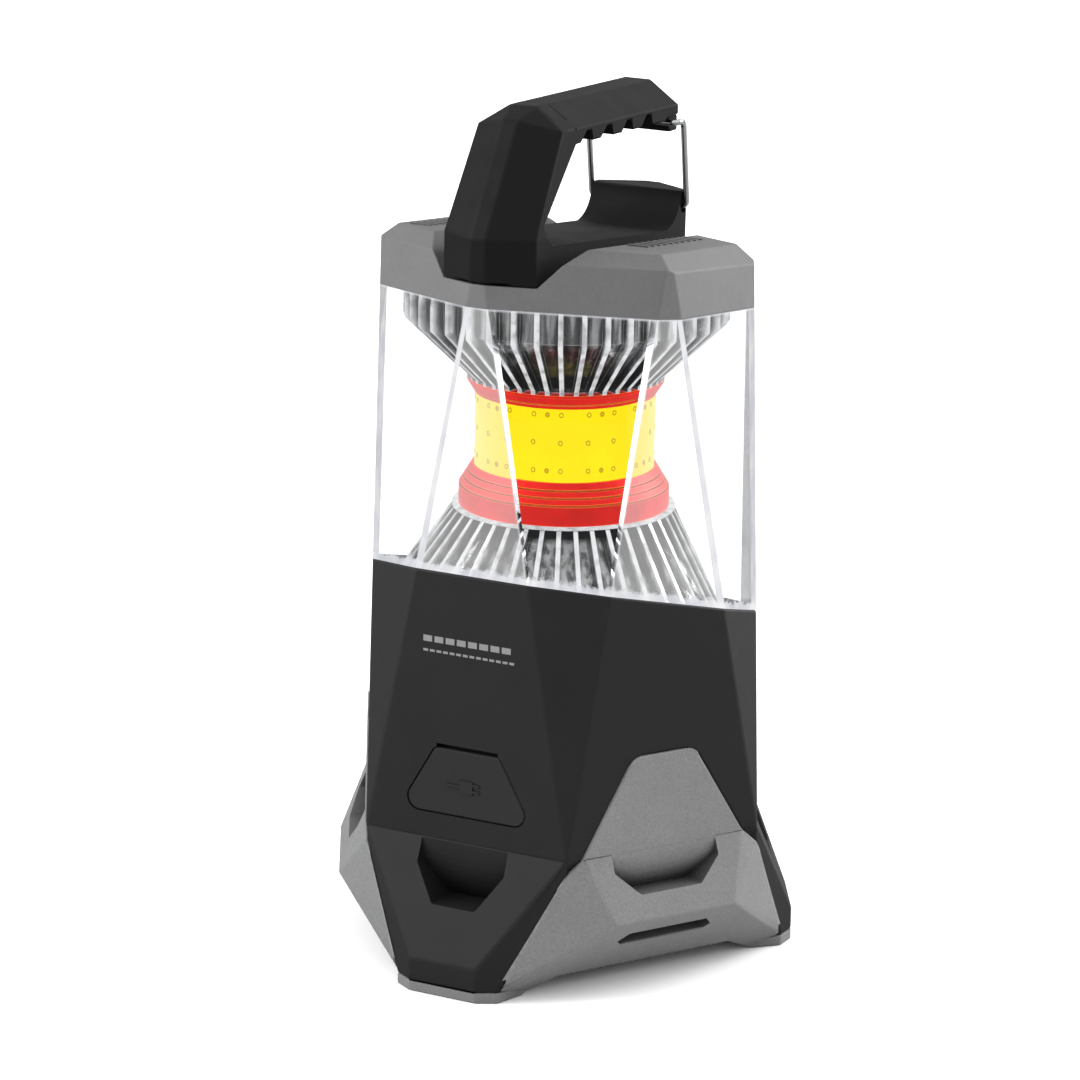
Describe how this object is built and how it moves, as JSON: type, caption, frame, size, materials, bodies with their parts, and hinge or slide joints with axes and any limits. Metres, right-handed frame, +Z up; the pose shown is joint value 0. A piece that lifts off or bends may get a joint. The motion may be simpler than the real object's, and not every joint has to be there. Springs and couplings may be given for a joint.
{
  "type": "rechargeable lantern",
  "caption": "Rechargeable area lantern: six-sided body and clear lens round a lit tube between finned reflectors, flared feet, hinged port door and a clip handle closed by a wire gate.",
  "frame": {"origin": "centre of the body axis on the plane the three feet stand on", "axes": "+Z up, -Y out of the face with the charging port door, +X to the right seen from that face"},
  "size_m": [0.1114, 0.1127, 0.2115],
  "materials": {
    "black_plastic": "fine matte grain",
    "grey_rubber": "matte, coarse grain on the bands",
    "grey_plastic": "matte",
    "seal_rubber": "matte",
    "screw_steel": "zinc plated",
    "cell_wrap": "shrink wrap",
    "white_plastic": "moulded",
    "nickel": "nickel",
    "circuit_board": "solder resist",
    "black_rubber": "matte, raised plug outline",
    "button_rubber": "matte",
    "mirror_finish": "vacuum metallised",
    "clear_lens": "clear, polished",
    "red_anodised": "red anodised, turned",
    "yellow_phosphor": "phosphor coating over the lit diodes",
    "bare_aluminium": "turned",
    "cable_red": "insulation",
    "grip_rubber": "soft matte",
    "gate_steel": "polished spring wire"
  },
  "bodies": {
    "lantern": {"housing": "black_plastic", "boot": "grey_rubber", "bottom_plate": "black_plastic", "bottom_seal": "seal_rubber", "base_screws": "screw_steel", "cell_left": "cell_wrap", "cell_right": "cell_wrap", "cell_rear": "cell_wrap", "tray_lower": "white_plastic", "tray_upper": "white_plastic", "strap_lower": "nickel", "strap_upper": "nickel", "main_board": "circuit_board", "board_screws": "screw_steel", "usb_a_socket": "nickel", "usb_c_socket": "nickel", "switch": "black_plastic", "switch_board": "circuit_board", "deck": "mirror_finish", "deck_screws": "screw_steel", "lens": "clear_lens", "lens_seal_lower": "seal_rubber", "lens_seal_upper": "seal_rubber", "lower_reflector": "mirror_finish", "lower_ring": "red_anodised", "light_tube": "yellow_phosphor", "lamp_core": "bare_aluminium", "upper_ring": "red_anodised", "upper_reflector": "mirror_finish", "lamp_cable": "cable_red", "tie_bolt": "screw_steel", "cap": "grey_plastic", "handle": "grip_rubber", "handle_screws": "screw_steel"},
    "clip_gate": {"gate": "gate_steel"},
    "door": {"port_door": "black_rubber"},
    "button": {"power_button": "button_rubber"}
  },
  "joints": [
    {"name": "gate_swing", "type": "hinge", "parent": "lantern", "child": "clip_gate", "pos_m": [0, 0.0376, 0.1788], "axis": [1, 0, 0], "range_deg": [0, 58]},
    {"name": "door_hinge", "type": "hinge", "parent": "lantern", "child": "door", "pos_m": [0, -0.04634, 0.04608], "axis": [1, 0, 0], "range_deg": [0, 75]},
    {"name": "button_press", "type": "slide", "parent": "lantern", "child": "button", "axis": [0, -0.9998, -0.0189], "range_m": [0, 0.0008]}
  ]
}
